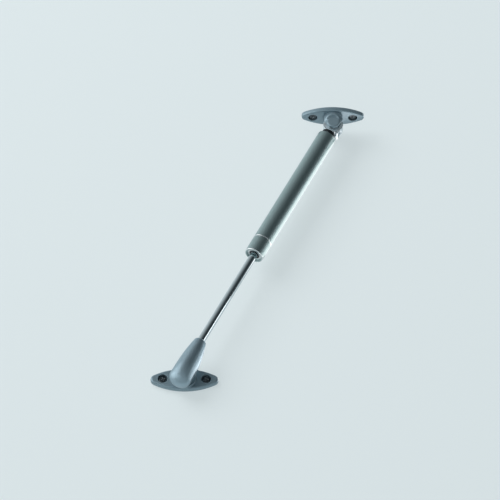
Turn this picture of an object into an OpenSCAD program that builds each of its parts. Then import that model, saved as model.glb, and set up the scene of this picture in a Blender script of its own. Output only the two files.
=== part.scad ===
// Gas spring stay: oval wall plate with a ball joint, strut, and an oval flap plate on a hinge.
// Millimetres, +Z up, +X towards the hinge, +Y out of the wall plate's back; origin on that back.

/* [Strut] */
// Outside diameter of the pressure tube
tube_d = 15; // [15:0.5:18]
// Wall of the pressure tube
tube_wall = 1; // [0.8:0.1:1.2]
// Length of the tube with its end sleeve
tube_len = 132.2; // [132:0.2:160]
// Length of the end sleeve
sleeve_len = 15; // [15:0.5:17]
// Diameter of the piston rod
rod_d = 6; // [5:0.25:6.5]
// Rod that shows when the stay is extended
rod_out = 89.4; // [89:0.2:110]
// Lean of the strut from the vertical
lean = 25.9; // [0:0.1:60]

/* [Plates] */
// Length of each oval plate
plate_l = 50; // [48:0.5:56]
// Width of each oval plate
plate_w = 18.4; // [18:0.2:20]
// Thickness of each oval plate
plate_t = 4; // [4:0.1:5]
// Radius of the rounded tips
tip_r = 3.8; // [3.6:0.1:5]
// Distance between the two screws
hole_gap = 32; // [30:0.5:34]
// Rounding of the face edge
edge_r = 1.2; // [0.6:0.1:1.4]

/* [Ball joint] */
// Height of the ball centre over the wall plate
ball_h = 9.8; // [9.8:0.1:10.4]
// Height of the rod axis over the ball centre
rod_lift = 3.8; // [3.6:0.1:4]
// Diameter of the ball
ball_d = 8; // [7.6:0.1:8]
// Radius of the round pedestal on the wall plate
ped_r = 8.8; // [8.4:0.1:9]
// Height of the pedestal
ped_h = 1.9; // [1.5:0.1:1.9]
// Length of the hood from the ball to its narrow end
hood_len = 26.4; // [26:0.2:34]
// Radius of the round end of the hood
hood_r = 8.5; // [8.2:0.1:9]
// Radius of the narrow end of the hood
neck_r = 4.8; // [4.2:0.1:5]

/* [Hinge] */
// Distance of the hinge pin from the flap plate
pin_drop = 9.7; // [9.7:0.1:11]
// Diameter of the hinge pin
pin_d = 5; // [4:0.1:5]
// Distance of the pin from the end of the tube
eye_len = 12.3; // [12.3:0.1:15]
// Radius of the eye
eye_r = 8; // [7.6:0.1:8]
// Thickness of the eye
eye_t = 7.4; // [7:0.1:7.8]
// Radius of the lug ends
lug_r = 5.3; // [5:0.1:5.6]
// Thickness of each lug
lug_t = 2.8; // [2.6:0.05:3]
// Radius of the domed post
post_r = 8.6; // [8.4:0.1:9]

/* [Screws] */
// Diameter of the screw shanks
screw_d = 3.5; // [3:0.1:3.8]
// Reach of the screws behind the plates
screw_out = 5.5; // [5:0.5:20]

/* [Hidden] */
$fn = 64;
hull_fn = 32;
// radial room of a pressed, a sliding and a running fit, and between parts that never touch
pressed = 0.02;
sliding = 0.04;
running = 0.05;
apart = 0.35;
// broken edges, sharp and soft
edge = 0.3;
soft = 0.4;
// extra depth of a cut that runs right through
past = 1;

// radii
tube_r = tube_d / 2;
bore_r = tube_r - tube_wall;
rod_r = rod_d / 2;
ball_r = ball_d / 2;
pin_r = pin_d / 2;
screw_r = screw_d / 2;
tenon_r = 2;
gland_r = bore_r - 1.3;
groove_r = bore_r - 1.3;

// heights over the back of the wall plate
ped_z = plate_t + ped_h;
ball_y = plate_t + ball_h;
strut_y = ball_y + rod_lift;

// stations along the strut, from the ball to the hinge pin
tube_lo = hood_len + rod_out;
joint_z = tube_lo + sleeve_len;
tube_hi = tube_lo + tube_len;
pivot_z = tube_hi + eye_len;

// gland inside the end sleeve
ring_z = tube_lo + 1.2;
ring_t = 1.1;
guide_z = tube_lo + 3;
guide_hi = tube_lo + 11;
washer_hi = guide_hi + 0.9;
seal_hi = joint_z + 2;
spigot_hi = joint_z + 6;
mouth_r = bore_r - 0.4;
snap_r = mouth_r + 0.45;

// piston stack on the rod's tenon
bumper_z = spigot_hi + edge;
stack_z = bumper_z + 2.7;
piston_z = stack_z + 1;
piston_hi = piston_z + 7;
piston_r = bore_r - 0.15;
ring_lo = piston_z + 2;
ring_hi = piston_z + 5;
nut_t = 3.4;
nut_r = 4;
rod_hi = piston_hi + nut_t + 1;

// plug in the tube's closed end, with the stud that carries the eye
plug_z = tube_hi - 9;
groove_lo = plug_z + 3;
groove_hi = plug_z + 5.2;
plug_face = tube_hi - 0.6;
stud_r = 3;
collar_r = 5.6;
eye_lo = pivot_z - eye_r;
eye_half = tube_r - 0.1;
bush_r = pin_r + 1;
stud_hi = pivot_z - bush_r - 1.2;

// oval outline: two large arcs and two tips
half_w = plate_w / 2;
tip_x = plate_l / 2 - tip_r;
arc_r = (tip_x * tip_x + half_w * half_w - tip_r * tip_r) / (2 * (half_w - tip_r));
join_x = arc_r * tip_x / (arc_r - tip_r) - 0.2;

// countersunk seats and the screws in them
hole_r = screw_r + apart;
sink_w = 1.5;
sink_r = hole_r + sink_w;
seat_z = plate_t - 3.1;
head_r = sink_r - 0.2;
head_gap = 0.03;
plain_r = screw_r - 0.45;
slot_l = 4.2;
slot_w = 0.9;
slot_turn = 20;
point_len = 2.5;

// riveted foot of the ball stud
shank_r = 2.6;
flange_r = 4.2;
waist_r = 2.3;
rivet_r = 3.8;
rivet_z = 0.15;
rivet_hi = 0.85;
well_r = 4.3;
well_z = 1.5;

// hinge
gap_y = eye_t / 2 + apart;
lug_y = gap_y + lug_t;
lug_round = 1.1;
lug_base = lug_t - 0.7;
spot_r = lug_r + 0.5;
dome_z = 4.8;
slot_z = pin_drop - eye_r - soft;
pin_y = lug_y - 0.7;

// hood, placed from the rod axis
base_y = ball_h + rod_lift - ped_h - 1;
fat_y = rod_lift + 0.4;
back_z = -5.8;
belly_z = 6;
belly_in = 0.4;
taper = 1.35;
foot_z = -2.6;
foot_r = hood_r - 1.2;
lip = 0.8;
cup_r = ball_r + 1;
cup_hi = 5.6;
clip_y = 3.2;
clip_r = 0.48;
clip_room = 0.55;
tail_z = 8.6;
tail_r = rod_r - 0.5;
tail_hi = hood_len - 5.9;

// placing

module on_wall() {
    rotate([90, 0, 0]) children();
}

module on_strut() {
    translate([0, -strut_y, 0]) rotate([0, lean, 0]) children();
}

module on_flap() {
    translate([pivot_z * sin(lean), -strut_y, pivot_z * cos(lean) + pin_drop])
        rotate([180, 0, 0]) children();
}

module at_ball() {
    translate([0, rod_lift, 0]) rotate([-90, 0, 0]) children();
}

module at_pin() {
    translate([0, 0, pivot_z]) rotate([90, 0, 0]) children();
}

module pair(reach) {
    for (side = [-1, 1]) translate([side * reach, 0, 0]) children();
}

// shared forms

module turned(pts) {
    rotate_extrude() polygon(pts);
}

module ring(outer, inner, lo, hi, cut = 0) {
    plain = [[outer, lo], [outer, hi]];
    broken = [[outer - cut, lo], [outer, lo + cut], [outer, hi - cut], [outer - cut, hi]];
    turned(concat([[inner, lo]], cut > 0 ? broken : plain, [[inner, hi]]));
}

// disc whose upper edge is rounded in two steps
module soft_disc(r, t = plate_t, round = edge_r) {
    step = 0.3 * round;
    turned([[0, 0], [r, 0], [r, t - round], [r - step, t - step], [r - round, t], [0, t]]);
}

module oval_plate() {
    intersection() {
        translate([0, half_w - arc_r, 0]) soft_disc(arc_r);
        translate([0, arc_r - half_w, 0]) soft_disc(arc_r);
        translate([-join_x, -plate_w, -past]) cube([2 * join_x, 2 * plate_w, plate_t + 2 * past]);
    }
    pair(tip_x) soft_disc(tip_r);
}

module screw_seats() {
    pair(hole_gap / 2) turned([[0, -past], [hole_r, -past], [hole_r, seat_z], [sink_r, seat_z + sink_w],
                               [sink_r, plate_t + past], [0, plate_t + past]]);
}

module screw() {
    neck = seat_z + head_gap + plain_r - hole_r;
    top = seat_z + head_gap + head_r - hole_r;
    crown = top + 0.8;
    difference() {
        turned([[0, -screw_out], [screw_r, point_len - screw_out], [screw_r, 0], [plain_r, 0],
                [plain_r, neck], [head_r, top], [head_r, top + edge], [0.7 * head_r, crown - 0.1],
                [0, crown]]);
        for (turn = [0, 90]) rotate([0, 0, slot_turn + turn])
            translate([-slot_l / 2, -slot_w / 2, top - slot_w]) cube([slot_l, slot_w, plate_t]);
    }
}

module screws() {
    pair(hole_gap / 2) screw();
}

// wall side

module wall_plate() {
    color("#7d8b92") on_wall() difference() {
        union() {
            oval_plate();
            turned([[0, plate_t - past], [ped_r, plate_t - past], [ped_r, ped_z - soft],
                    [ped_r - soft, ped_z], [0, ped_z]]);
        }
        screw_seats();
        translate([0, 0, -past]) cylinder(r = shank_r + running, h = ped_z + 2 * past);
        translate([0, 0, -past]) cylinder(r = well_r, h = well_z + past);
    }
}

module wall_screws() {
    color("#3a4247") on_wall() screws();
}

module ball_stud() {
    flange_z = ped_z + running;
    flange_hi = ped_z + 1.2;
    color("#b9bfc2") on_wall() union() {
        turned([[0, rivet_z], [rivet_r - soft, rivet_z], [rivet_r, rivet_z + edge], [rivet_r, rivet_hi],
                [shank_r, rivet_hi], [shank_r, flange_z], [flange_r, flange_z],
                [flange_r, flange_hi - soft], [flange_r - soft, flange_hi], [waist_r, flange_hi],
                [waist_r, ball_y], [0, ball_y]]);
        translate([0, 0, ball_y]) sphere(r = ball_r);
    }
}

module stud_washer() {
    color("#9aa2a6") on_wall()
        ring(well_r - 0.15, shank_r + running, rivet_hi + running, well_z - 0.08);
}

// socket and rod

module hood_form() {
    $fn = hull_fn;
    belly_y = fat_y - belly_in;
    belly_r = hood_r - belly_in;
    neck_z = hood_len - lip;
    hull() {
        translate([0, fat_y, back_z]) sphere(r = hood_r);
        translate([0, belly_y, belly_z]) sphere(r = belly_r);
        translate([0, base_y, foot_z]) rotate([90, 0, 0]) cylinder(r1 = foot_r - soft, r2 = foot_r, h = 0.6);
        for (part = [0.25, 0.5, 0.75])
            translate([0, belly_y * (1 - part), belly_z + part * (neck_z - belly_z)])
                cylinder(r = neck_r + (belly_r - neck_r) * (1 - pow(part, taper)), h = soft);
        translate([0, 0, neck_z]) cylinder(r1 = neck_r, r2 = neck_r - soft, h = lip);
    }
}

module socket_hood() {
    below = 30;
    color("#8b9aa2") on_strut() difference() {
        hood_form();
        translate([-below, base_y, -below]) cube(2 * below);
        at_ball() {
            sphere(r = cup_r + pressed);
            cylinder(r = cup_r + pressed, h = below);
            translate([0, 0, clip_y - clip_room]) cylinder(r = cup_r + 0.6, h = 2 * clip_room);
            translate([0, 0, cup_hi + 0.2]) cylinder(r = foot_r - 1.4, h = below);
        }
        translate([0, 0, tail_z - 0.2]) cylinder(r = tail_r + pressed, h = hood_len);
        translate([0, 0, tail_hi - 0.1]) cylinder(r = rod_r + pressed, h = hood_len);
    }
}

module ball_cup() {
    hollow = ball_r + running;
    mouth = sqrt(pow(hollow, 2) - pow(2.4, 2));
    flare_z = 2.7;
    color("#2f3436") on_strut() at_ball() difference() {
        union() {
            sphere(r = cup_r);
            cylinder(r = cup_r, h = cup_hi);
        }
        sphere(r = hollow);
        turned([[0, 0], [mouth, 0], [mouth, flare_z], [mouth + 0.9, cup_hi + 0.8], [0, cup_hi + 0.8]]);
        translate([0, 0, clip_y]) ring(cup_r + past, cup_r - 0.5, -clip_room, clip_room);
    }
}

module cup_clip() {
    color("#c9ced0") on_strut() at_ball() translate([0, 0, clip_y]) rotate([0, 0, -60])
        rotate_extrude(angle = 300) translate([cup_r + 0.03, 0]) circle(r = clip_r);
}

module piston_rod() {
    color("#d5dadc") on_strut()
        turned([[0, tail_z], [tail_r - soft, tail_z], [tail_r, tail_z + soft], [tail_r, tail_hi],
                [rod_r, tail_hi], [rod_r, stack_z], [tenon_r, stack_z], [tenon_r, rod_hi - soft],
                [tenon_r - soft, rod_hi], [0, rod_hi]]);
}

module rebound_bumper() {
    color("#24282a") on_strut() ring(gland_r + edge, rod_r + pressed, bumper_z, stack_z - pressed, soft);
}

module piston_washer() {
    color("#a8aeb1") on_strut() ring(bore_r - 0.9, tenon_r + pressed, stack_z, piston_z - pressed);
}

module piston() {
    floor_r = groove_r - 0.2;
    color("#c3b27a") on_strut()
        turned([[tenon_r + pressed, piston_z], [piston_r - edge, piston_z], [piston_r, piston_z + edge],
                [piston_r, ring_lo], [floor_r, ring_lo], [floor_r, ring_hi], [piston_r, ring_hi],
                [piston_r, piston_hi - edge], [piston_r - edge, piston_hi], [tenon_r + pressed, piston_hi]]);
}

module piston_ring() {
    color("#1f2224") on_strut() ring(bore_r - running, groove_r - 0.1, ring_lo + 0.1, ring_hi - 0.1, edge);
}

module piston_nut() {
    color("#b3b9bc") on_strut() translate([0, 0, piston_hi + pressed]) difference() {
        cylinder(r = nut_r, h = nut_t - pressed, $fn = 6);
        translate([0, 0, -past]) cylinder(r = tenon_r + pressed, h = nut_t + 2 * past);
    }
}

// tube

module pressure_tube() {
    lip_r = tube_r - edge;
    end_r = tube_r - 0.5;
    color("#6f7c7d") on_strut()
        turned([[bore_r, joint_z], [lip_r, joint_z], [tube_r, joint_z + edge],
                [tube_r, tube_hi - 0.5], [end_r, tube_hi], [bore_r, tube_hi]]);
}

module end_sleeve() {
    nose = 0.7;
    seam_z = joint_z - pressed;
    spigot_r = bore_r - pressed;
    throat_r = rod_r + soft;
    color("#6f7c7d") on_strut()
        turned([[mouth_r, tube_lo], [tube_r - nose, tube_lo], [tube_r, tube_lo + nose],
                [tube_r, joint_z - edge], [tube_r - edge, seam_z], [spigot_r, seam_z],
                [spigot_r, spigot_hi - edge], [bore_r - edge, spigot_hi], [throat_r, spigot_hi],
                [throat_r, seal_hi], [gland_r, seal_hi], [gland_r, guide_z], [mouth_r, guide_z],
                [mouth_r, ring_z + ring_t], [snap_r, ring_z + ring_t], [snap_r, ring_z], [mouth_r, ring_z]]);
}

module retaining_ring() {
    inner = rod_r + 1.3;
    outer = snap_r - running;
    color("#8f979b") on_strut() translate([0, 0, ring_z + running]) rotate([0, 0, 105])
        rotate_extrude(angle = 335) translate([inner, 0]) square([outer - inner, ring_t - 2 * running]);
}

module wiper_ring() {
    lip_z = tube_lo + 2;
    step_z = ring_z + ring_t + running;
    outer = mouth_r - running;
    color("#1d2022") on_strut()
        turned([[rod_r + sliding, lip_z], [rod_r + 0.7, lip_z], [rod_r + 0.9, step_z], [outer, step_z],
                [outer, guide_z - pressed], [rod_r + sliding, guide_z - pressed]]);
}

module rod_guide() {
    color("#c8c4b4") on_strut()
        ring(gland_r - pressed, rod_r + sliding, guide_z + pressed, guide_hi, soft);
}

module seal_washer() {
    color("#a8aeb1") on_strut() ring(gland_r - pressed, rod_r + 0.2, guide_hi + running, washer_hi);
}

module rod_seal() {
    lo = washer_hi + running;
    hi = seal_hi - running;
    outer = gland_r - pressed;
    inner = rod_r + sliding;
    valley = hi - 1.6;
    color("#1d2022") on_strut()
        turned([[inner, lo], [outer, lo], [outer, hi], [gland_r - 0.6, hi], [gland_r - 0.9, valley],
                [rod_r + 0.6, valley], [rod_r + soft, hi], [inner, hi]]);
}

module base_plug() {
    r = bore_r - pressed;
    color("#8a9294") on_strut()
        turned([[0, plug_z], [r - soft, plug_z], [r, plug_z + soft], [r, groove_lo], [groove_r, groove_lo],
                [groove_r, groove_hi], [r, groove_hi], [r, plug_face], [collar_r, plug_face],
                [collar_r, eye_lo - pressed], [stud_r, eye_lo - pressed], [stud_r, stud_hi - 0.5],
                [stud_r - 0.5, stud_hi], [0, stud_hi]]);
}

// round eye with a flat tongue down one side, which holds the clip slot
module end_eye() {
    slot = [4.4, 2.6, 5.2];
    corner = 0.7;
    inner = eye_half - 1.5;
    color("#b4bcc0") on_strut() difference() {
        at_pin() union() {
            cylinder(r = eye_r, h = eye_t, center = true);
            linear_extrude(eye_t, center = true)
                polygon([[inner, 0], [inner, -eye_r], [eye_half - corner, -eye_r], [eye_half, corner - eye_r],
                         [eye_half, 0]]);
        }
        at_pin() cylinder(r = bush_r, h = eye_t + 2 * past, center = true);
        translate([eye_half + 0.2, 0, pivot_z - 4.2]) cube(slot, center = true);
        translate([0, 0, eye_lo - past]) cylinder(r = stud_r + pressed, h = stud_hi + 0.2 + past - eye_lo);
    }
}

module base_seal() {
    color("#1d2022") on_strut()
        ring(bore_r - pressed, groove_r + pressed, groove_lo + 0.1, groove_hi - 0.1, edge);
}

module eye_bush() {
    color("#d9d6cc") on_strut() at_pin() ring(bush_r - pressed, pin_r + running, -eye_t / 2, eye_t / 2);
}

// flap side

// cheek that runs from inside the dome out to the round boss on the pin
module lug() {
    $fn = hull_fn;
    hull() {
        intersection() {
            translate([0, 0, dome_z]) sphere(r = post_r - soft);
            translate([-plate_l / 2, gap_y, -edge]) cube([plate_l, lug_base, plate_l]);
        }
        translate([0, gap_y, pin_drop]) rotate([-90, 0, 0]) cylinder(r = lug_r, h = lug_base, $fn = 64);
    }
    translate([0, gap_y, pin_drop]) rotate([-90, 0, 0]) soft_disc(lug_r, lug_t, lug_round, $fn = 64);
}

// ball-shaped post, spot-faced round the two bosses
module domed_post() {
    difference() {
        intersection() {
            translate([0, 0, dome_z]) sphere(r = post_r);
            translate([-plate_l / 2, -plate_l / 2, -past]) cube(plate_l);
        }
        for (turn = [0, 180]) rotate([0, 0, turn])
            translate([0, gap_y + lug_base, pin_drop]) rotate([-90, 0, 0]) cylinder(r = spot_r, h = post_r);
    }
}

module flap_plate() {
    color("#7d8b92") on_flap() difference() {
        union() {
            translate([0, 0, -plate_t]) oval_plate();
            domed_post();
            for (turn = [0, 180]) rotate([0, 0, turn]) lug();
        }
        translate([-plate_l / 2, -gap_y, slot_z]) cube([plate_l, 2 * gap_y, plate_l]);
        translate([0, pin_y + running, pin_drop]) rotate([90, 0, 0])
            cylinder(r = pin_r + pressed, h = plate_l);
        translate([0, 0, -plate_t]) screw_seats();
    }
}

module pivot_pin() {
    color("#9da6aa") on_flap() translate([0, 0, pin_drop]) rotate([90, 0, 0])
        turned([[0, -pin_y], [pin_r - edge, -pin_y], [pin_r, edge - pin_y], [pin_r, lug_y - running - edge],
                [pin_r - edge, lug_y - running], [0, lug_y - running]]);
}

module pivot_washers() {
    half_t = 0.13;
    color("#d9d6cc") on_flap() for (side = [-1, 1])
        translate([0, side * (eye_t / 2 + 0.2), pin_drop]) rotate([90, 0, 0])
            ring(lug_r - 0.2, pin_r + running, -half_t, half_t);
}

module flap_screws() {
    color("#3a4247") on_flap() translate([0, 0, -plate_t]) screws();
}

wall_plate();
wall_screws();
ball_stud();
stud_washer();
socket_hood();
ball_cup();
cup_clip();
piston_rod();
rebound_bumper();
piston_washer();
piston();
piston_ring();
piston_nut();
pressure_tube();
end_sleeve();
retaining_ring();
wiper_ring();
rod_guide();
seal_washer();
rod_seal();
base_plug();
end_eye();
base_seal();
eye_bush();
flap_plate();
pivot_pin();
pivot_washers();
flap_screws();
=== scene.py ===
import math

import bmesh
import bpy
import numpy as np
from mathutils import Matrix, Vector


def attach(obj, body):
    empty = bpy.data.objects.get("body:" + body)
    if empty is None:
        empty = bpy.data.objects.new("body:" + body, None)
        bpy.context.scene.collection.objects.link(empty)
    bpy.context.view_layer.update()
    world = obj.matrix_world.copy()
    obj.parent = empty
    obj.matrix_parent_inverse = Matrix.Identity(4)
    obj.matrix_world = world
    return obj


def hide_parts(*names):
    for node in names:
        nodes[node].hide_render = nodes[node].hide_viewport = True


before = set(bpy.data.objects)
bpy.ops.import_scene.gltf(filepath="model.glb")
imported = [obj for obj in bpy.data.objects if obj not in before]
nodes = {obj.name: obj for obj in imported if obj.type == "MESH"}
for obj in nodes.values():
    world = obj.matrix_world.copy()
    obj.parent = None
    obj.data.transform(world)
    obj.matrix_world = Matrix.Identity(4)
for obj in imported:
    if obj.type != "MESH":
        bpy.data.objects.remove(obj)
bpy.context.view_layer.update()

scene = bpy.context.scene
scene.view_settings.view_transform = "Standard"
print("stage: frame loaded,", len(nodes), "nodes")

# where things are on the stay, in millimetres
stay = {
    "lean": 25.9,          # strut from the vertical, degrees
    "rodY": -17.6,         # strut axis in front of the wall
    "tubeLow": 115.8,      # stations along the strut, from the ball
    "tubeJoint": 130.8,
    "tubeHigh": 248.0,
    "pivot": 260.3,
    "eyeLow": 252.3,
    "pinDrop": 9.7,        # hinge pin below the flap plate
    "plateT": 4.0,
    "holeGap": 32.0,
}
milli = 0.001
leanAngle = math.radians(stay["lean"])
strutFrame = Matrix.Translation((0, stay["rodY"], 0)) @ Matrix.Rotation(leanAngle, 4, "Y")
wallFrame = Matrix.Rotation(math.pi / 2, 4, "X")
pinPoint = strutFrame @ Vector((0, 0, stay["pivot"]))
flapPoint = pinPoint + Vector((0, 0, stay["pinDrop"]))
flapFrame = Matrix.Translation(flapPoint) @ Matrix.Rotation(math.pi, 4, "X")
flapBackFrame = flapFrame @ Matrix.Translation((0, 0, -stay["plateT"]))
pinFrame = flapFrame @ Matrix.Translation((0, 0, stay["pinDrop"])) @ Matrix.Rotation(math.pi / 2, 4, "X")


# mesh helpers

def meshFrom(name, verts, faces, place=None):
    mesh = bpy.data.meshes.new(name)
    spots = [(place @ Vector(v) if place else Vector(v)) * milli for v in verts]
    mesh.from_pydata(spots, [], faces)
    work = bmesh.new()
    work.from_mesh(mesh)
    bmesh.ops.recalc_face_normals(work, faces=work.faces)
    work.to_mesh(mesh)
    work.free()
    return mesh


def addPiece(name, mesh, body, stands, sharpAt=40):
    mesh.polygons.foreach_set("use_smooth", [True] * len(mesh.polygons))
    if sharpAt:
        mesh.set_sharp_from_angle(angle=math.radians(sharpAt))
    piece = bpy.data.objects.new(name, mesh)
    scene.collection.objects.link(piece)
    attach(piece, body)
    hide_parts(*stands)
    return piece


def weightNormals(piece):
    even = piece.modifiers.new("even normals", "WEIGHTED_NORMAL")
    even.keep_sharp = True
    even.weight = 80


def filletPath(points, steps=5):
    # each point is (radius, height) or (radius, height, fillet)
    path = []
    count = len(points)
    for i, point in enumerate(points):
        here = Vector(point[:2])
        fillet = point[2] if len(point) > 2 else 0
        if not fillet:
            path.append(here)
            continue
        toLast = (Vector(points[i - 1][:2]) - here).normalized()
        toNext = (Vector(points[(i + 1) % count][:2]) - here).normalized()
        half = toLast.angle(toNext) / 2
        reach = fillet / math.tan(half)
        centre = here + (toLast + toNext).normalized() * (fillet / math.sin(half))
        start = here + toLast * reach - centre
        end = here + toNext * reach - centre
        for k in range(steps + 1):
            mixed = start.lerp(end, k / steps)
            path.append(centre + mixed.normalized() * fillet)
    return path


def turnedMesh(name, path, place, segments=96, closed=False):
    verts, rings = [], []
    for r, z in path:
        if r < 1e-6:
            rings.append([len(verts)] * segments)
            verts.append((0, 0, z))
        else:
            rings.append(list(range(len(verts), len(verts) + segments)))
            turns = [2 * math.pi * k / segments for k in range(segments)]
            verts += [(r * math.cos(t), r * math.sin(t), z) for t in turns]
    pairs = list(zip(rings, rings[1:])) + ([(rings[-1], rings[0])] if closed else [])
    faces = []
    for low, high in pairs:
        for k in range(segments):
            n = (k + 1) % segments
            ids = [low[k], low[n], high[n], high[k]]
            corner = list(dict.fromkeys(ids))
            if len(corner) > 2:
                faces.append(corner)
    return meshFrom(name, verts, faces, place)


def evaluatedMesh(source, name):
    bpy.context.view_layer.update()
    graph = bpy.context.evaluated_depsgraph_get()
    mesh = bpy.data.meshes.new_from_object(source.evaluated_get(graph))
    mesh.name = name
    return mesh


relaxShares = {"pull": 0.5, "push": -0.52}  # smoothing step, and the step back that keeps the size


def relaxMesh(mesh, rounds, weights=None, keepSize=True):
    count = len(mesh.vertices)
    spots = np.zeros(count * 3)
    mesh.vertices.foreach_get("co", spots)
    spots = spots.reshape(-1, 3)
    ends = np.zeros(len(mesh.edges) * 2, np.int64)
    mesh.edges.foreach_get("vertices", ends)
    first, second = ends[0::2], ends[1::2]
    degree = np.bincount(ends, minlength=count)[:, None]
    pull = np.ones((count, 1)) if weights is None else weights[:, None]
    for k in range(rounds * (2 if keepSize else 1)):
        total = np.stack([
            np.bincount(first, spots[second, axis], count) + np.bincount(second, spots[first, axis], count)
            for axis in range(3)
        ], 1)
        share = relaxShares["push" if keepSize and k % 2 else "pull"]
        spots = spots + share * pull * (total / degree - spots)
    mesh.vertices.foreach_set("co", spots.ravel())
    mesh.update()


def localSpots(mesh, place):
    # vertex places in millimetres in a frame of the stay
    spots = np.zeros(len(mesh.vertices) * 3)
    mesh.vertices.foreach_get("co", spots)
    back = np.array(place.inverted())
    return spots.reshape(-1, 3) / milli @ back[:3, :3].T + back[:3, 3]


def setSpots(mesh, place, spots):
    turn = np.array(place)
    mesh.vertices.foreach_set("co", ((spots @ turn[:3, :3].T + turn[:3, 3]) * milli).ravel())
    mesh.update()


def ramp(amounts, start, end):
    # 0 at start and 1 at end, rising or falling
    return np.clip((amounts - start) / (end - start), 0, 1)


def castMesh(node, name, voxel, rounds):
    # dense even copy of a CAD solid, whose edges the relaxing then rounds as a casting's are
    copy = bpy.data.objects.new(name + "Work", nodes[node].data.copy())
    scene.collection.objects.link(copy)
    weld = copy.modifiers.new("weld", "WELD")
    weld.merge_threshold = 1e-6
    grid = copy.modifiers.new("grid", "REMESH")
    grid.mode = "VOXEL"
    grid.voxel_size = voxel * milli
    mesh = evaluatedMesh(copy, name)
    bpy.data.objects.remove(copy)
    mesh.materials.clear()
    relaxMesh(mesh, rounds)
    return mesh


# shader groups shared by the finishes

def newGroup(name, inputs, outputs):
    group = bpy.data.node_groups.new(name, "ShaderNodeTree")
    for label, kind, value in inputs:
        socket = group.interface.new_socket(label, in_out="INPUT", socket_type=kind)
        if value is not None:
            socket.default_value = value
    for label, kind in outputs:
        group.interface.new_socket(label, in_out="OUTPUT", socket_type=kind)
    return group, group.nodes.new("NodeGroupInput"), group.nodes.new("NodeGroupOutput")


def mathNode(tree, kind, a, b=None, clamp=False):
    node = tree.nodes.new("ShaderNodeMath")
    node.operation = kind
    node.use_clamp = clamp
    for socket, value in zip(node.inputs, (a, b)):
        if value is None:
            continue
        if isinstance(value, (int, float)):
            socket.default_value = value
        else:
            tree.links.new(value, socket)
    return node.outputs[0]


def noiseNode(tree, vector, scale, detail=2.0, rough=0.5):
    node = tree.nodes.new("ShaderNodeTexNoise")
    node.inputs["Detail"].default_value = detail
    node.inputs["Roughness"].default_value = rough
    tree.links.new(vector, node.inputs["Vector"])
    if isinstance(scale, (int, float)):
        node.inputs["Scale"].default_value = scale
    else:
        tree.links.new(scale, node.inputs["Scale"])
    return node.outputs["Fac"]


noiseScales = {"cloud": 45.0, "tone": 60.0, "patches": 700.0, "marks": 95.0}
noiseMiddle = 0.5
grainShare = 0.45  # fine grain beside the slow waves
lineShare = 0.6    # brush lines in a turned finish, the rest is cloud
bumpDepth = {"cast": 0.02, "turned": 0.01, "moulded": 0.02}  # mm


def makeBrushGroup():
    # fine lines round or along a turned piece, from a vector stretched along them
    group, given, made = newGroup(
        "brush lines",
        [("Vector", "NodeSocketVector", None), ("Stretch", "NodeSocketVector", (1, 1, 1)),
         ("Scale", "NodeSocketFloat", 900.0)],
        [("Lines", "NodeSocketFloat"), ("Cloud", "NodeSocketFloat")],
    )
    stretch = group.nodes.new("ShaderNodeVectorMath")
    stretch.operation = "MULTIPLY"
    group.links.new(given.outputs["Vector"], stretch.inputs[0])
    group.links.new(given.outputs["Stretch"], stretch.inputs[1])
    lines = noiseNode(group, stretch.outputs[0], given.outputs["Scale"], detail=3.0, rough=0.6)
    cloud = noiseNode(group, given.outputs["Vector"], noiseScales["cloud"], detail=3.0, rough=0.55)
    group.links.new(lines, made.inputs["Lines"])
    group.links.new(cloud, made.inputs["Cloud"])
    return group


def makeGrainGroup():
    # skin of a sprayed or plated casting: fine grain over slow waves
    group, given, made = newGroup(
        "cast grain",
        [("Vector", "NodeSocketVector", None), ("Grain Scale", "NodeSocketFloat", 2600.0),
         ("Wave Scale", "NodeSocketFloat", 180.0)],
        [("Height", "NodeSocketFloat"), ("Tone", "NodeSocketFloat")],
    )
    grain = noiseNode(group, given.outputs["Vector"], given.outputs["Grain Scale"], detail=2.0, rough=0.6)
    wave = noiseNode(group, given.outputs["Vector"], given.outputs["Wave Scale"], detail=2.0, rough=0.5)
    part = mathNode(group, "MULTIPLY", grain, grainShare)
    height = mathNode(group, "ADD", part, wave)
    tone = noiseNode(group, given.outputs["Vector"], noiseScales["tone"], detail=4.0, rough=0.6)
    group.links.new(height, made.inputs["Height"])
    group.links.new(tone, made.inputs["Tone"])
    return group


def makeWearGroup():
    # rubbed mask on outer edges, broken up by noise
    group, given, made = newGroup(
        "edge wear",
        [("Vector", "NodeSocketVector", None), ("Reach", "NodeSocketFloat", 0.53),
         ("Gain", "NodeSocketFloat", 12.0)],
        [("Mask", "NodeSocketFloat")],
    )
    shape = group.nodes.new("ShaderNodeNewGeometry")
    over = mathNode(group, "SUBTRACT", shape.outputs["Pointiness"], given.outputs["Reach"])
    raised = mathNode(group, "MULTIPLY", over, given.outputs["Gain"], clamp=True)
    patches = noiseNode(group, given.outputs["Vector"], noiseScales["patches"], detail=3.0, rough=0.65)
    broken = mathNode(group, "MULTIPLY", raised, patches, clamp=True)
    group.links.new(broken, made.inputs["Mask"])
    return group


def makeSmudgeGroup():
    # handling marks that change only how sharply the surface shines
    group, given, made = newGroup(
        "handling marks",
        [("Vector", "NodeSocketVector", None), ("Base", "NodeSocketFloat", 0.3),
         ("Change", "NodeSocketFloat", 0.08)],
        [("Roughness", "NodeSocketFloat")],
    )
    marks = noiseNode(group, given.outputs["Vector"], noiseScales["marks"], detail=5.0, rough=0.62)
    swing = mathNode(group, "SUBTRACT", marks, noiseMiddle)
    part = mathNode(group, "MULTIPLY", swing, given.outputs["Change"])
    total = mathNode(group, "ADD", part, given.outputs["Base"], clamp=True)
    group.links.new(total, made.inputs["Roughness"])
    return group


brushLines = makeBrushGroup()
castGrain = makeGrainGroup()
edgeWear = makeWearGroup()
handlingMarks = makeSmudgeGroup()
print("stage: shader groups made")


# finishes

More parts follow.
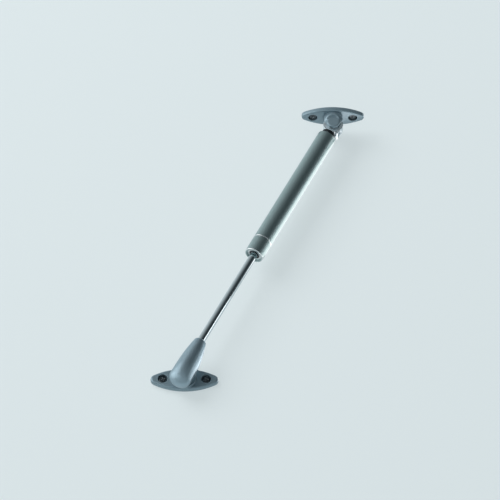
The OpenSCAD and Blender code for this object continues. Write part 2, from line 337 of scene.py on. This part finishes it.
def startMaterial(name, metallic, turn=0.0):
    mat = bpy.data.materials.new(name)
    mat.use_nodes = True
    tree = mat.node_tree
    shader = tree.nodes["Principled BSDF"]
    shader.inputs["Metallic"].default_value = metallic
    place = tree.nodes.new("ShaderNodeTexCoord")
    vector = place.outputs["Object"]
    if turn:
        # lays the texture's Z along the strut
        mapping = tree.nodes.new("ShaderNodeMapping")
        mapping.inputs["Rotation"].default_value = (0, -turn, 0)
        tree.links.new(vector, mapping.inputs["Vector"])
        vector = mapping.outputs["Vector"]
    return mat, tree, shader, vector


def useGroup(tree, group, vector, **values):
    node = tree.nodes.new("ShaderNodeGroup")
    node.node_tree = group
    tree.links.new(vector, node.inputs["Vector"])
    for label, value in values.items():
        node.inputs[label.replace("_", " ")].default_value = value
    return node


def mixColour(tree, mask, low, high):
    node = tree.nodes.new("ShaderNodeMix")
    node.data_type = "RGBA"
    tree.links.new(mask, node.inputs["Factor"])
    for socket, value in ((node.inputs["A"], low), (node.inputs["B"], high)):
        if isinstance(value, tuple):
            socket.default_value = (*value, 1)
        else:
            tree.links.new(value, socket)
    return node.outputs["Result"]


def bumpFrom(tree, shader, height, strength, depth):
    node = tree.nodes.new("ShaderNodeBump")
    node.inputs["Strength"].default_value = strength
    node.inputs["Distance"].default_value = depth * milli
    tree.links.new(height, node.inputs["Height"])
    tree.links.new(node.outputs["Normal"], shader.inputs["Normal"])


def castFinish(name, values):
    mat, tree, shader, vector = startMaterial(name, values["metallic"])
    grain = useGroup(tree, castGrain, vector, Grain_Scale=values["grain"])
    wear = useGroup(tree, edgeWear, vector, Reach=values["wearReach"], Gain=values["wearGain"])
    marks = useGroup(tree, handlingMarks, vector, Base=values["rough"], Change=values["roughChange"])
    coat = mixColour(tree, grain.outputs["Tone"], values["dark"], values["light"])
    colour = mixColour(tree, wear.outputs["Mask"], coat, values["bare"])
    tree.links.new(colour, shader.inputs["Base Color"])
    tree.links.new(marks.outputs["Roughness"], shader.inputs["Roughness"])
    bumpFrom(tree, shader, grain.outputs["Height"], values["bump"], bumpDepth["cast"])
    return mat


def turnedFinish(name, values):
    mat, tree, shader, vector = startMaterial(name, values["metallic"], leanAngle)
    brush = useGroup(tree, brushLines, vector, Stretch=values["stretch"], Scale=values["lines"])
    marks = useGroup(tree, handlingMarks, vector, Base=values["rough"], Change=values["roughChange"])
    lines = mathNode(tree, "MULTIPLY", brush.outputs["Lines"], lineShare)
    cloud = mathNode(tree, "MULTIPLY", brush.outputs["Cloud"], 1 - lineShare)
    tone = mathNode(tree, "ADD", lines, cloud)
    colour = mixColour(tree, tone, values["dark"], values["light"])
    tree.links.new(colour, shader.inputs["Base Color"])
    tree.links.new(marks.outputs["Roughness"], shader.inputs["Roughness"])
    bumpFrom(tree, shader, brush.outputs["Lines"], values["bump"], bumpDepth["turned"])
    return mat


def mouldedFinish(name, values):
    mat, tree, shader, vector = startMaterial(name, 0.0)
    grain = useGroup(tree, castGrain, vector, Grain_Scale=values["grain"])
    marks = useGroup(tree, handlingMarks, vector, Base=values["rough"], Change=values["roughChange"])
    colour = mixColour(tree, grain.outputs["Tone"], values["dark"], values["light"])
    tree.links.new(colour, shader.inputs["Base Color"])
    tree.links.new(marks.outputs["Roughness"], shader.inputs["Roughness"])
    bumpFrom(tree, shader, grain.outputs["Height"], values["bump"], bumpDepth["moulded"])
    return mat


platePaint = castFinish("plate paint", {
    "dark": (0.205, 0.285, 0.33), "light": (0.25, 0.335, 0.38), "bare": (0.56, 0.64, 0.68),
    "metallic": 0.62, "rough": 0.33, "roughChange": 0.08, "grain": 2600.0, "bump": 0.2,
    "wearReach": 0.515, "wearGain": 3.0,
})
hoodPaint = castFinish("hood paint", {
    "dark": (0.29, 0.385, 0.44), "light": (0.33, 0.43, 0.485), "bare": (0.62, 0.70, 0.74),
    "metallic": 0.92, "rough": 0.40, "roughChange": 0.05, "grain": 2800.0, "bump": 0.10,
    "wearReach": 0.57, "wearGain": 3.0,
})
eyeBright = castFinish("eye plating", {
    "dark": (0.62, 0.70, 0.74), "light": (0.68, 0.76, 0.80), "bare": (0.80, 0.86, 0.89),
    "metallic": 0.80, "rough": 0.26, "roughChange": 0.06, "grain": 3200.0, "bump": 0.08,
    "wearReach": 0.55, "wearGain": 6.0,
})
screwDark = castFinish("screw plating", {
    "dark": (0.06, 0.075, 0.085), "light": (0.10, 0.12, 0.13), "bare": (0.40, 0.45, 0.48),
    "metallic": 1.0, "rough": 0.24, "roughChange": 0.08, "grain": 3000.0, "bump": 0.08,
    "wearReach": 0.55, "wearGain": 6.0,
})
# lighter recess of the screw heads: partly wear from the driver, partly a painted glint
recessWornGlint = castFinish("recess worn bare and painted glint", {
    "dark": (0.34, 0.38, 0.40), "light": (0.48, 0.52, 0.54), "bare": (0.60, 0.64, 0.66),
    "metallic": 0.6, "rough": 0.30, "roughChange": 0.10, "grain": 3000.0, "bump": 0.08,
    "wearReach": 0.55, "wearGain": 6.0,
})
# near-black plug finish: its collar in the gap below the eye is painted shade
plugShadeBlack = turnedFinish("plug painted shade", {
    "dark": (0.035, 0.042, 0.046), "light": (0.055, 0.064, 0.07), "metallic": 0.9,
    "rough": 0.38, "roughChange": 0.08, "stretch": (0.1, 0.1, 1), "lines": 1600.0, "bump": 0.06,
})
tubeSatin = turnedFinish("tube satin", {
    "dark": (0.315, 0.41, 0.415), "light": (0.345, 0.44, 0.445), "metallic": 0.92,
    "rough": 0.32, "roughChange": 0.03, "stretch": (1, 1, 0.03), "lines": 1800.0, "bump": 0.02,
})
rodChrome = turnedFinish("rod chrome", {
    "dark": (0.60, 0.665, 0.69), "light": (0.64, 0.70, 0.725), "metallic": 1.0,
    "rough": 0.06, "roughChange": 0.02, "stretch": (1, 1, 0.02), "lines": 2500.0, "bump": 0.01,
})
# bright rim colour: partly polished metal, partly a painted highlight on the chamfers
ringPolishAndHighlight = turnedFinish("turned bright edge with painted highlight", {
    "dark": (0.74, 0.77, 0.78), "light": (0.84, 0.86, 0.87), "metallic": 1.0,
    "rough": 0.18, "roughChange": 0.05, "stretch": (0.1, 0.1, 1), "lines": 2500.0, "bump": 0.05,
})
zincSteel = turnedFinish("zinc plate", {
    "dark": (0.54, 0.57, 0.58), "light": (0.64, 0.67, 0.68), "metallic": 1.0,
    "rough": 0.28, "roughChange": 0.10, "stretch": (0.1, 0.1, 1), "lines": 1600.0, "bump": 0.08,
})
pistonAlloy = turnedFinish("turned alloy", {
    "dark": (0.64, 0.62, 0.54), "light": (0.74, 0.72, 0.64), "metallic": 1.0,
    "rough": 0.30, "roughChange": 0.08, "stretch": (0.1, 0.1, 1), "lines": 1600.0, "bump": 0.10,
})
cupPlastic = mouldedFinish("cup plastic", {
    "dark": (0.10, 0.11, 0.12), "light": (0.14, 0.15, 0.16), "rough": 0.48, "roughChange": 0.12,
    "grain": 2400.0, "bump": 0.2,
})
guidePlastic = mouldedFinish("guide plastic", {
    "dark": (0.72, 0.70, 0.64), "light": (0.82, 0.80, 0.74), "rough": 0.42, "roughChange": 0.10,
    "grain": 2400.0, "bump": 0.15,
})
sealRubber = mouldedFinish("seal rubber", {
    "dark": (0.035, 0.038, 0.04), "light": (0.06, 0.064, 0.068), "rough": 0.62, "roughChange": 0.14,
    "grain": 2000.0, "bump": 0.3,
})
print("stage: finishes made")


# cast pieces: plates, hood and eye, in millimetres

plateForm = {"length": 50.0, "width": 18.4, "tipR": 3.8, "backRound": 0.9, "reach": 2.7}  # oval outline
# the hood's front falls away towards its round end, and its skin is even up to the crisp narrow end
hoodForm = {
    "roundR": 8.5, "axisY": 4.2, "roundZ": -5.8, "endLift": 1.4,
    "startZ": 4.0, "endMargin": 0.01,
    "ballY": 3.8, "cavityR": 5.6, "skin": 1.2,
    "tip": 25.2, "tipFade": 2.0, "rounds": 240,
}
# rounded rim of the eye, down to where its tongue starts
eyeForm = {"inner": 5.6, "innerFade": 0.8, "tongue": 256.0, "tongueFade": 2.0, "rounds": 60}
# soft run of the ball-shaped post into its bosses, softer above the pin
flapForm = {
    "low": 0.8, "lowFade": 0.6, "cheek": 4.6, "cheekFade": 0.5, "boss": 4.9, "bossFade": 0.9, "rounds": 40,
    "overPin": 1.0, "topFade": 2.0, "topRounds": 160,
}


def roundBack(mesh, place, values):
    # rolls the outline in towards the plate's back, as a bullnose
    spots = localSpots(mesh, place)
    x, y, z = spots.T
    tipR, halfWide = values["tipR"], values["width"] / 2
    tipX = values["length"] / 2 - tipR
    arcR = (tipX ** 2 + halfWide ** 2 - tipR ** 2) / (2 * (halfWide - tipR))
    atTip = np.abs(x) > arcR * tipX / (arcR - tipR)
    outX = np.where(atTip, np.sign(x) * (np.abs(x) - tipX), x)
    outY = np.where(atTip, y, np.sign(y) * (np.abs(y) + arcR - halfWide))
    length = np.maximum(np.hypot(outX, outY), 1e-6)
    inside = np.where(atTip, tipR, arcR) - length
    drop = np.clip(values["backRound"] - z, 0, values["backRound"])
    inset = values["backRound"] - np.sqrt(values["backRound"] ** 2 - drop ** 2)
    move = inset * ramp(inside, values["reach"], 0)
    spots[:, 0] -= move * outX / length
    spots[:, 1] -= move * outY / length
    setSpots(mesh, place, spots)


def slopeHood(mesh, values):
    spots = localSpots(mesh, strutFrame)
    roundR, endZ = values["roundR"], values["roundZ"] - values["roundR"]
    z = np.clip(spots[:, 2], endZ + values["endMargin"], values["startZ"])
    wide = np.sqrt(roundR ** 2 - np.minimum(z - values["roundZ"], 0) ** 2) / roundR
    deep = np.sqrt(1 - ((values["startZ"] - z) / (values["startZ"] - endZ)) ** 2)
    fromBall = np.linalg.norm(spots - (0, values["ballY"], 0), axis=1)
    skin = ramp(fromBall, values["cavityR"], values["cavityR"] + values["skin"])
    ahead = np.minimum(spots[:, 1] - values["axisY"], 0)
    spots[:, 1] += ahead * (deep / wide - 1) * skin
    below = ramp(spots[:, 2], values["roundZ"], endZ)
    spots[:, 2] += values["endLift"] * below ** 2
    setSpots(mesh, strutFrame, spots)


def shapeHood(mesh, values):
    slopeHood(mesh, values)
    along = localSpots(mesh, strutFrame)[:, 2]
    relaxMesh(mesh, values["rounds"], ramp(along, values["tip"], values["tip"] - values["tipFade"]))


def shapeEye(mesh, values):
    fromPin = np.linalg.norm(localSpots(mesh, pinFrame)[:, :2], axis=1)
    along = localSpots(mesh, strutFrame)[:, 2]
    outer = ramp(fromPin, values["inner"], values["inner"] + values["innerFade"])
    upper = ramp(along, values["tongue"], values["tongue"] + values["tongueFade"])
    relaxMesh(mesh, values["rounds"], outer * upper, keepSize=False)


def shapeFlap(mesh, values):
    x, y, z = localSpots(mesh, flapFrame).T
    fromPin = np.hypot(x, z - stay["pinDrop"])
    offPlate = ramp(z, values["low"], values["low"] + values["lowFade"])
    out = ramp(np.abs(y), values["cheek"], values["cheek"] + values["cheekFade"])
    around = ramp(fromPin, values["boss"], values["boss"] + values["bossFade"])
    soft = offPlate * out * around
    relaxMesh(mesh, values["rounds"], soft, keepSize=False)
    topLow = stay["pinDrop"] - values["overPin"]
    above = ramp(z, topLow, topLow - values["topFade"])
    relaxMesh(mesh, values["topRounds"], soft * above, keepSize=False)


castPieces = {
    "wallPlate": {
        "node": "wall_plate", "body": "wall_bracket", "slot": "plate_paint", "finish": platePaint,
        "voxel": 0.20, "rounds": 6, "backFrame": wallFrame,
    },
    "socketHood": {
        "node": "socket_hood", "body": "rod", "slot": "hood_paint", "finish": hoodPaint,
        "voxel": 0.22, "rounds": 4, "shape": shapeHood, "form": hoodForm,
    },
    "endEye": {
        "node": "end_eye", "body": "tube", "slot": "eye_bright", "finish": eyeBright,
        "voxel": 0.14, "rounds": 4, "shape": shapeEye, "form": eyeForm,
    },
    "flapPlate": {
        "node": "flap_plate", "body": "flap_bracket", "slot": "plate_paint", "finish": platePaint,
        "voxel": 0.16, "rounds": 6, "shape": shapeFlap, "form": flapForm, "backFrame": flapBackFrame,
    },
}
for name, values in castPieces.items():
    mesh = castMesh(values["node"], name, values["voxel"], values["rounds"])
    if "shape" in values:
        values["shape"](mesh, values["form"])
    if "backFrame" in values:
        roundBack(mesh, values["backFrame"], plateForm)
    mesh.materials.append(values["finish"])
    addPiece(name, mesh, values["body"], [values["node"]], sharpAt=0)
    print("stage: cast piece", name, len(mesh.polygons), "faces")


# turned pieces, radius and height in millimetres; a third number rounds that corner

low, joint, high = stay["tubeLow"], stay["tubeJoint"], stay["tubeHigh"]
eyeLow = stay["eyeLow"]
seam = 0.02  # between faces that meet
# tube, its bore, and what is pressed into it
tubeR, boreR, pressR = 7.5, 6.5, 6.48
# sleeve: mouth, ring groove, seal space and the way for the rod
mouthR, snapR, glandR, passR = 6.1, 6.55, 5.2, 3.4
snapLow, snapHigh, glandLow, glandHigh = low + 1.2, low + 2.3, low + 3, joint + 2
spigotHigh = joint + 6
lineLow = joint - 0.55
# rod, its tail in the hood and its tenon in the piston
rodR, tailR, tenonR = 3.0, 2.5, 2.0
tailLow, tailHigh, tenonLow, tenonHigh = 8.6, 20.5, 139.8, 152.2
# plug: seal groove, collar coloured near black as painted shade in the gap below the eye, and the stud for
# the eye
sealR, collarR, plugStudR = 5.2, 5.6, 3.0
plugLow, sealLow, sealHigh, collarLow = high - 9, high - 6, high - 3.8, high - 0.6
plugHigh = eyeLow + 3.3
pinR, pinBack, pinFront = 2.5, -6.15, 6.8
# rims of sleeve and tube coloured bright: partly polished metal, partly a painted highlight on the
# chamfers; and how far in from the outside they go
brightBands = [(low - 0.1, low + 0.62), (joint - 0.58, joint + 0.32)]
bandDepth = 0.6
turnedPieces = {
    "pressureTube": {
        "node": "pressure_tube", "body": "tube", "slot": "tube_satin", "finish": tubeSatin,
        "place": strutFrame, "closed": True, "bands": brightBands,
        "profile": [(boreR, joint), (tubeR, joint, 0.3), (tubeR, high, 0.55), (boreR, high, 0.2)],
    },
    "endSleeve": {
        "node": "end_sleeve", "body": "tube", "slot": "tube_satin", "finish": tubeSatin,
        "place": strutFrame, "closed": True, "bands": brightBands,
        "profile": [(mouthR, low, 0.15), (tubeR, low, 0.6), (tubeR, lineLow), (tubeR, joint - seam, 0.25),
                    (pressR, joint - seam), (pressR, spigotHigh, 0.2), (passR, spigotHigh),
                    (passR, glandHigh), (glandR, glandHigh), (glandR, glandLow), (mouthR, glandLow),
                    (mouthR, snapHigh), (snapR, snapHigh), (snapR, snapLow), (mouthR, snapLow)],
    },
    "pistonRod": {
        "node": "piston_rod", "body": "rod", "slot": "rod_chrome", "finish": rodChrome,
        "place": strutFrame, "closed": False,
        "profile": [(0, tailLow), (tailR, tailLow, 0.4), (tailR, tailHigh), (rodR, tailHigh),
                    (rodR, tenonLow), (tenonR, tenonLow), (tenonR, tenonHigh, 0.4), (0, tenonHigh)],
    },
    "basePlug": {
        # the plug's near-black colour is painted shade in the gap below the eye
        "node": "base_plug", "body": "tube", "slot": "screw_dark", "finish": plugShadeBlack,
        "place": strutFrame, "closed": False,
        "profile": [(0, plugLow), (pressR, plugLow, 0.4), (pressR, sealLow), (sealR, sealLow),
                    (sealR, sealHigh), (pressR, sealHigh), (pressR, collarLow), (collarR, collarLow),
                    (collarR, eyeLow - seam, 0.3), (plugStudR, eyeLow - seam),
                    (plugStudR, plugHigh, 0.5), (0, plugHigh)],
    },
    "pivotPin": {
        "node": "pivot_pin", "body": "flap_bracket", "slot": "zinc_steel", "finish": zincSteel,
        "place": pinFrame, "closed": False,
        "profile": [(0, pinBack), (pinR, pinBack, 0.3), (pinR, pinFront, 0.35), (0, pinFront)],
    },
}
for name, values in turnedPieces.items():
    mesh = turnedMesh(name, filletPath(values["profile"]), values["place"], closed=values["closed"])
    mesh.materials.append(values["finish"])
    # rim faces take the bright colour: polish and a painted highlight
    if "bands" in values:
        mesh.materials.append(ringPolishAndHighlight)
        back = values["place"].inverted()
        for face in mesh.polygons:
            spot = back @ (face.center / milli)
            outside = math.hypot(spot.x, spot.y) > tubeR - bandDepth
            if outside and any(start < spot.z < end for start, end in values["bands"]):
                face.material_index = 1
    piece = addPiece(name, mesh, values["body"], [values["node"]])
    weightNormals(piece)
print("stage: turned pieces made")


# ball stud: riveted foot, flange, waist and ball

studValues = {
    "footR": 3.8, "footLow": 0.15, "footHigh": 0.85, "footFillet": 0.35, "shankR": 2.6,
    "flangeR": 4.2, "flangeLow": 5.95, "flangeHigh": 7.1, "flangeFillet": 0.4,
    "waistR": 2.3, "waistFillet": 0.3, "ballR": 4.0, "ballZ": 13.8, "steps": 24,
}


def studPath(values):
    path = filletPath([
        (0, values["footLow"]), (values["footR"], values["footLow"], values["footFillet"]),
        (values["footR"], values["footHigh"]), (values["shankR"], values["footHigh"]),
        (values["shankR"], values["flangeLow"]), (values["flangeR"], values["flangeLow"]),
        (values["flangeR"], values["flangeHigh"], values["flangeFillet"]),
        (values["waistR"], values["flangeHigh"], values["waistFillet"]),
    ])
    ballR, steps = values["ballR"], values["steps"]
    start = math.asin(values["waistR"] / ballR)
    for k in range(steps + 1):
        t = start + (math.pi - start) * k / steps
        path.append(Vector((ballR * math.sin(t), values["ballZ"] - ballR * math.cos(t))))
    return path


studMesh = turnedMesh("ballStud", studPath(studValues), wallFrame)
studMesh.materials.append(zincSteel)
weightNormals(addPiece("ballStud", studMesh, "ball", ["ball_stud"]))
print("stage: ball stud made")


# screws: countersunk head with a cross recess, running thread and point

screwValues = {
    "threadR": 1.75, "coreR": 1.22, "pitch": 1.4, "ridge": 0.24, "runOut": 0.8, "reach": 4.9, "point": 2.5,
    "plainR": 1.3, "headR": 3.4, "headLow": 0.13, "headHigh": 2.23, "rim": 0.3, "rimFillets": (0.1, 0.15),
    "crown": 0.5, "crownR": 2.38, "crownEdge": 0.4, "crownFillet": 0.9,
    "slotTurn": 20.0, "slotTop": 1.6, "slotDeep": 0.9,
    "slotFoot": (0.9, 0.30), "slotHead": (2.2, 0.48), "armStep": 0.002,
    # the last three pick the recess faces coloured lighter as wear and painted glint
    "wornGlintR": 2.0, "wornGlintDeep": 1.0, "wornGlintSlope": 0.75,
}


def screwShaft(values, segments=40, step=0.1):
    rows = [-values["reach"] + step * k for k in range(int(values["reach"] / step) + 1)]
    turns = [2 * math.pi * k / segments for k in range(segments)]
    verts, faces, rings = [(0, 0, rows[0])], [], []
    for z in rows[1:]:
        taper = min(1.0, (z - rows[0]) / values["point"])
        fade = min(1.0, max(0.0, -z / values["runOut"]))
        rings.append(list(range(len(verts), len(verts) + segments)))
        for k, turn in enumerate(turns):
            t = (z / values["pitch"] - k / segments) % 1.0
            ridge = max(0.0, 1 - abs(t - 0.5) / values["ridge"]) * fade
            r = taper * (values["coreR"] + ridge * (values["threadR"] - values["coreR"]))
            verts.append((r * math.cos(turn), r * math.sin(turn), z))
    rimHigh = values["headHigh"] + values["rim"]
    lowFillet, highFillet = values["rimFillets"]
    head = filletPath([
        (values["plainR"], 0.0), (values["plainR"], values["headLow"]),
        (values["headR"], values["headHigh"], lowFillet), (values["headR"], rimHigh, highFillet),
        (values["crownR"], rimHigh + values["crownEdge"], values["crownFillet"]),
        (0, rimHigh + values["crown"]),
    ])
    for r, z in head[:-1]:
        rings.append(list(range(len(verts), len(verts) + segments)))
        verts += [(r * math.cos(turn), r * math.sin(turn), z) for turn in turns]
    top = len(verts)
    verts.append((0, 0, head[-1][1]))
    for k in range(segments):
        n = (k + 1) % segments
        faces.append((0, rings[0][n], rings[0][k]))
        faces.append((rings[-1][k], rings[-1][n], top))
        faces += [(a[k], a[n], b[n], b[k]) for a, b in zip(rings, rings[1:])]
    return verts, faces


def recessCutter(values):
    # two crossed wedges, the second a hair wider so that no faces coincide
    levels = [(values["slotFoot"], values["headHigh"] - values["slotDeep"]),
              (values["slotHead"], values["headHigh"] + values["slotTop"])]
    boxFaces = ((3, 2, 1, 0), (4, 5, 6, 7), (0, 1, 5, 4), (1, 2, 6, 5), (2, 3, 7, 6), (3, 0, 4, 7))
    verts, faces = [], []
    for arm in range(2):
        turn = Matrix.Rotation(math.radians(values["slotTurn"] + 90 * arm), 4, "Z")
        start = len(verts)
        for (half, wide), z in levels:
            wide += values["armStep"] * arm
            corners = [(-half, -wide, z), (half, -wide, z), (half, wide, z), (-half, wide, z)]
            verts += [turn @ Vector(c) for c in corners]
        faces += [[start + i for i in quad] for quad in boxFaces]
    return verts, faces


def screwMesh(values):
    shaft = bpy.data.objects.new("screwWork", meshFrom("screwWork", *screwShaft(values)))
    cutter = bpy.data.objects.new("recessWork", meshFrom("recessWork", *recessCutter(values)))
    for work in (shaft, cutter):
        scene.collection.objects.link(work)
    cut = shaft.modifiers.new("recess", "BOOLEAN")
    cut.operation = "DIFFERENCE"
    cut.solver = "EXACT"
    cut.use_self = True
    cut.object = cutter
    mesh = evaluatedMesh(shaft, "screw")
    for work in (shaft, cutter):
        bpy.data.objects.remove(work)
    return mesh


def recessFaces(mesh, values):
    # faces inside the cross, below the crown, coloured lighter: partly wear from the driver, partly a
    # painted glint
    inside = []
    for face in mesh.polygons:
        spot = face.center / milli
        near = math.hypot(spot.x, spot.y) < values["wornGlintR"]
        shallow = spot.z > values["headHigh"] - values["wornGlintDeep"]
        if near and shallow and face.normal.z < values["wornGlintSlope"]:
            inside.append(face.index)
    return inside


screwForm = screwMesh(screwValues)
wornGlintFaces = recessFaces(screwForm, screwValues)
screwSets = {
    "wallScrew": {"node": "wall_screws", "body": "wall_bracket", "place": wallFrame},
    "flapScrew": {"node": "flap_screws", "body": "flap_bracket", "place": flapBackFrame},
}
for name, values in screwSets.items():
    for side, word in ((-1, "Left"), (1, "Right")):
        mesh = screwForm.copy()
        shift = Matrix.Translation((side * stay["holeGap"] / 2, 0, 0))
        scaled = Matrix.Scale(milli, 4) @ values["place"] @ shift @ Matrix.Scale(1 / milli, 4)
        mesh.transform(scaled)
        mesh.materials.clear()
        mesh.materials.append(screwDark)
        mesh.materials.append(recessWornGlint)
        # recess faces take the lighter finish: wear and a painted glint
        for index in wornGlintFaces:
            mesh.polygons[index].material_index = 1
        addPiece(name + word, mesh, values["body"], [values["node"]], sharpAt=32)
print("stage: screws made")


# CAD nodes that stay get their finish

stayingNodes = {
    "stud_washer": zincSteel, "ball_cup": cupPlastic, "cup_clip": zincSteel,
    "rebound_bumper": sealRubber, "piston_washer": zincSteel, "piston": pistonAlloy,
    "piston_ring": sealRubber, "piston_nut": zincSteel,
    "retaining_ring": zincSteel, "wiper_ring": cupPlastic, "rod_guide": guidePlastic,
    "seal_washer": zincSteel, "rod_seal": sealRubber, "base_seal": sealRubber,
    "eye_bush": guidePlastic, "pivot_washers": guidePlastic,
}
for node, finish in stayingNodes.items():
    mesh = nodes[node].data
    mesh.materials.clear()
    mesh.materials.append(finish)
print("stage: CAD nodes finished")


# backdrop: wall behind the lower plate, floor well below

stageValues = {
    "wallColour": (0.23, 0.25, 0.255), "wallGlow": (0.475, 0.53, 0.543), "wallY": 0.0003, "wallReach": 4.0,
    "floorColour": (0.50, 0.54, 0.55), "floorGlow": (0, 0, 0), "floorZ": -0.45, "floorReach": 30.0,
    "rough": 0.9, "specular": 0.1,
}


def stageMaterial(name, colour, glow):
    # seen from its front only, and open to light from behind
    mat = bpy.data.materials.new(name)
    mat.use_nodes = True
    tree = mat.node_tree
    shader = tree.nodes["Principled BSDF"]
    shader.inputs["Base Color"].default_value = (*colour, 1)
    shader.inputs["Emission Color"].default_value = (*glow, 1)
    shader.inputs["Emission Strength"].default_value = 1
    shader.inputs["Roughness"].default_value = stageValues["rough"]
    shader.inputs["Specular IOR Level"].default_value = stageValues["specular"]
    path = tree.nodes.new("ShaderNodeLightPath")
    shape = tree.nodes.new("ShaderNodeNewGeometry")
    seen = mathNode(tree, "ADD", path.outputs["Is Camera Ray"], path.outputs["Is Glossy Ray"])
    seen = mathNode(tree, "ADD", seen, path.outputs["Is Transmission Ray"], clamp=True)
    front = mathNode(tree, "SUBTRACT", 1.0, shape.outputs["Backfacing"])
    shown = mathNode(tree, "MULTIPLY", seen, front)
    clear = tree.nodes.new("ShaderNodeBsdfTransparent")
    mix = tree.nodes.new("ShaderNodeMixShader")
    tree.links.new(shown, mix.inputs[0])
    tree.links.new(clear.outputs[0], mix.inputs[1])
    tree.links.new(shader.outputs[0], mix.inputs[2])
    tree.links.new(mix.outputs[0], tree.nodes["Material Output"].inputs["Surface"])
    return mat


def stageSheet(name, corners, mat):
    mesh = bpy.data.meshes.new(name)
    mesh.from_pydata(corners, [], [(0, 1, 2, 3)])
    mesh.materials.append(mat)
    sheet = bpy.data.objects.new(name, mesh)
    scene.collection.objects.link(sheet)
    return sheet


square = [(-1, -1), (1, -1), (1, 1), (-1, 1)]
wallReach, floorReach = stageValues["wallReach"], stageValues["floorReach"]
stageSheet("wall", [(x * wallReach, stageValues["wallY"], z * wallReach) for x, z in square],
           stageMaterial("wall", stageValues["wallColour"], stageValues["wallGlow"]))
stageSheet("floor", [(x * floorReach, y * floorReach, stageValues["floorZ"]) for x, y in square],
           stageMaterial("floor", stageValues["floorColour"], stageValues["floorGlow"]))
print("stage: backdrop made")


# light: shine says whether metal mirrors the lamp, lights whether it lights plain surfaces

lightValues = {
    "front": {"spot": (0.3, -2.8, 0.2), "size": (5.0, 4.0), "power": 14.0, "shine": False, "lights": True},
    "key": {"spot": (-1.7, -1.7, 1.3), "size": (1.8, 1.8), "power": 60.0, "shine": False, "lights": True},
    "top": {"spot": (-0.3, -1.1, 2.2), "size": (2.0, 2.0), "power": 8.0, "shine": False, "lights": True},
    "rightBox": {"spot": (1.0, -0.12, 0.06), "size": (0.28, 0.22), "power": 0.42,
                 "shine": True, "lights": False},
    "leftCard": {"spot": (-1.4, -0.6, 0.20), "size": (2.4, 2.2), "power": 18.0,
                 "shine": True, "lights": False},
}
aim = Vector((0.05, -0.02, 0.11))  # middle of the stay
for name, values in lightValues.items():
    lamp = bpy.data.lights.new(name, "AREA")
    lamp.energy = values["power"]
    lamp.shape = "RECTANGLE"
    lamp.size, lamp.size_y = values["size"]
    holder = bpy.data.objects.new(name, lamp)
    holder.location = values["spot"]
    holder.rotation_mode = "QUATERNION"
    holder.rotation_quaternion = (aim - Vector(values["spot"])).to_track_quat("-Z", "Y")
    holder.visible_glossy = values["shine"]
    holder.visible_diffuse = values["lights"]
    holder.visible_camera = False
    scene.collection.objects.link(holder)

# bright cards flat on the wall beside tube, hood and hinge, which only shiny faces see
# spot is x and z on the wall and size is width and height, mm
cardValues = {
    "tubeCard": {"spot": (120, 160), "size": (60, 131), "turn": stay["lean"], "radiance": 1.7},
    "hoodCard": {"spot": (44.6, 7.2), "size": (46, 28), "turn": stay["lean"], "radiance": 2.4},
    "hingeCard": {"spot": (230, 258), "size": (120, 38), "turn": 0, "radiance": 3.0},
}
cardColour = (1.0, 0.90, 0.88)
cardGap = 0.0005
for name, values in cardValues.items():
    card = bpy.data.lights.new(name, "AREA")
    card.shape = "RECTANGLE"
    card.size, card.size_y = (side * milli for side in values["size"])
    card.color = cardColour
    card.energy = values["radiance"] * math.pi * card.size * card.size_y
    spot = Vector((values["spot"][0] * milli, -cardGap, values["spot"][1] * milli))
    turn = Matrix.Rotation(math.radians(values["turn"]), 4, "Y") @ wallFrame.inverted()
    holder = bpy.data.objects.new(name, card)
    holder.matrix_world = Matrix.Translation(spot) @ turn
    holder.visible_camera = False
    holder.visible_diffuse = False
    scene.collection.objects.link(holder)

worldValues = {
    "pale": (0.58, 0.63, 0.65), "dim": (0.024, 0.035, 0.040),
    "dimTowards": (0.68, -0.675, 0.285), "start": 0.08, "end": 1.0,
}


def makeWorld(values):
    # pale room with one dim side, the way the metal's dark bands face
    world = bpy.data.worlds.new("room")
    scene.world = world
    world.use_nodes = True
    tree = world.node_tree
    place = tree.nodes.new("ShaderNodeTexCoord")
    facing = tree.nodes.new("ShaderNodeVectorMath")
    facing.operation = "DOT_PRODUCT"
    facing.inputs[1].default_value = Vector(values["dimTowards"]).normalized()
    tree.links.new(place.outputs["Generated"], facing.inputs[0])
    fade = tree.nodes.new("ShaderNodeMapRange")
    fade.inputs["From Min"].default_value = values["start"]
    fade.inputs["From Max"].default_value = values["end"]
    tree.links.new(facing.outputs["Value"], fade.inputs["Value"])
    colour = mixColour(tree, fade.outputs["Result"], values["pale"], values["dim"])
    tree.links.new(colour, tree.nodes["Background"].inputs["Color"])


makeWorld(worldValues)
print("stage: light made")


# camera, from the fit of the plates and the strut

cameraValues = {
    "rise": 37.612, "turn": 0.248, "roll": 0.264,  # degrees
    "distance": 1.5899, "target": (0.047752, -0.018, 0.109169),
    "lens": 150.07, "sensor": 36.0, "near": 0.05, "far": 100.0,
}
rise, turn, roll = (math.radians(cameraValues[k]) for k in ("rise", "turn", "roll"))
look = Vector((math.sin(turn) * math.cos(rise), math.cos(turn) * math.cos(rise), math.sin(rise)))
right = Vector((math.cos(turn), -math.sin(turn), 0))
up = right.cross(look)
rolledRight = math.cos(roll) * right + math.sin(roll) * up
rolledUp = -math.sin(roll) * right + math.cos(roll) * up
cameraData = bpy.data.cameras.new("camera")
cameraData.lens = cameraValues["lens"]
cameraData.sensor_width = cameraValues["sensor"]
cameraData.clip_start = cameraValues["near"]
cameraData.clip_end = cameraValues["far"]
camera = bpy.data.objects.new("camera", cameraData)
basis = Matrix((rolledRight, rolledUp, -look)).transposed().to_4x4()
cameraSpot = Vector(cameraValues["target"]) - look * cameraValues["distance"]
camera.matrix_world = Matrix.Translation(cameraSpot) @ basis
scene.collection.objects.link(camera)
scene.camera = camera
print("stage: camera set")
